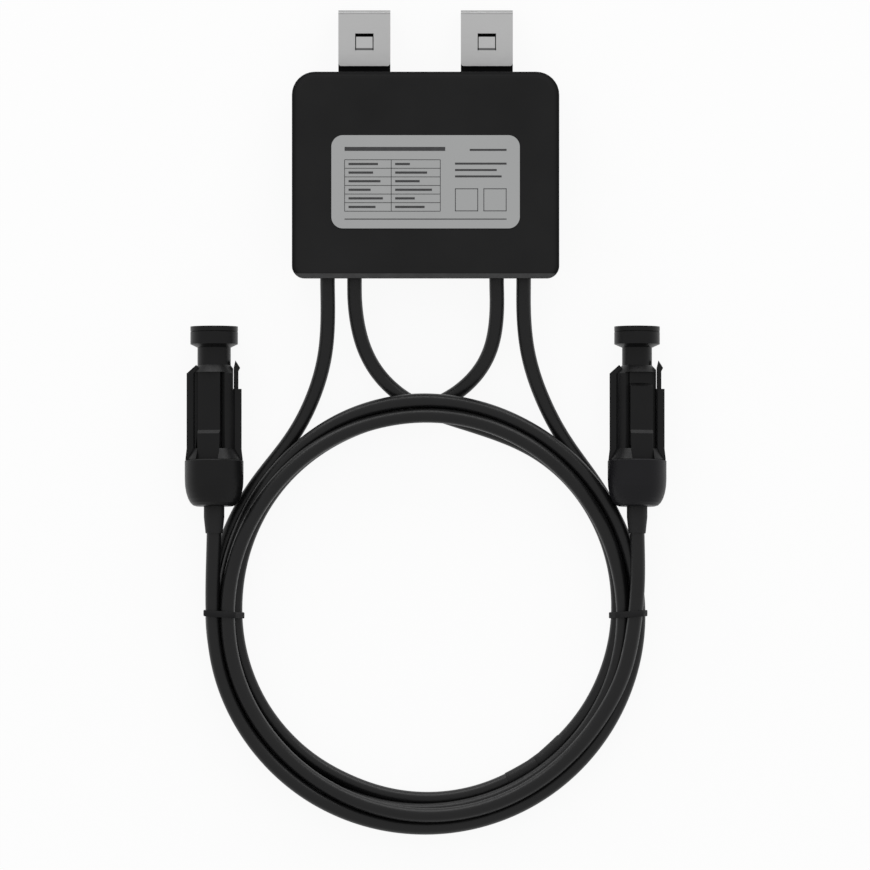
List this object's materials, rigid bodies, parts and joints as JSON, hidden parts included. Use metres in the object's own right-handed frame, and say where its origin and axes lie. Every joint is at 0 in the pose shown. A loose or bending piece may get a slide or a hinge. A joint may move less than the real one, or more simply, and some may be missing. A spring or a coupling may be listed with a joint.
{
  "type": "power optimizer",
  "caption": "Flat black box with round corners, a grey plate, folded steel frame clips and coiled cables that end in plug connectors; it regulates one solar module's power.",
  "frame": {"origin": "on the floor, under the middle of the housing and its clips", "axes": "+Z out of the label face, +Y towards the frame clips, +X to the right seen from the label"},
  "size_m": [0.1966, 0.3357, 0.0279],
  "materials": {
    "housing": "fine moulded grain",
    "label": "satin printed plate",
    "clip": "bright rolled stainless sheet",
    "screw": "zinc plated",
    "seal": "soft matte",
    "board": "solder resist",
    "ferrite": "sintered",
    "copper": "enamelled wire",
    "film_capacitor": "cast box",
    "can_capacitor": "sleeved can",
    "package": "moulded epoxy",
    "spreader": "milled",
    "thermal": "filled silicone",
    "terminal": "tinned copper",
    "cable": "satin sheath",
    "tie": "nylon",
    "connector": "fine moulded",
    "cage": "moulded",
    "contact": "tin plated copper alloy"
  },
  "bodies": {
    "root": {"front_shell": "housing", "rear_cover": "housing", "cover_gasket": "seal", "cover_screws": "screw", "label_plate": "label", "clip_left": "clip", "clip_right": "clip", "circuit_board": "board", "board_screws": "screw", "inductor_core": "ferrite", "inductor_winding": "copper", "input_capacitors": "film_capacitor", "output_capacitors": "can_capacitor", "power_transistors": "package", "bypass_diode": "package", "control_chip": "package", "heat_spreader": "spreader", "thermal_pad": "thermal", "cable_terminals": "terminal", "grommet_outer_left": "seal", "lead_outer_left": "cable", "grommet_inner_left": "seal", "lead_inner_left": "cable", "grommet_inner_right": "seal", "lead_inner_right": "cable", "grommet_outer_right": "seal", "lead_outer_right": "cable", "cable_coil": "cable", "tie_left": "tie", "tail_left": "cable", "gland_nut_left": "connector", "connector_body_left": "connector", "seal_bush_left": "seal", "clamp_cage_left": "cage", "tie_right": "tie", "tail_right": "cable", "gland_nut_right": "connector", "connector_body_right": "connector", "seal_bush_right": "seal", "clamp_cage_right": "cage", "socket_contact": "contact", "pin_contact": "contact"}
  },
  "joints": []
}
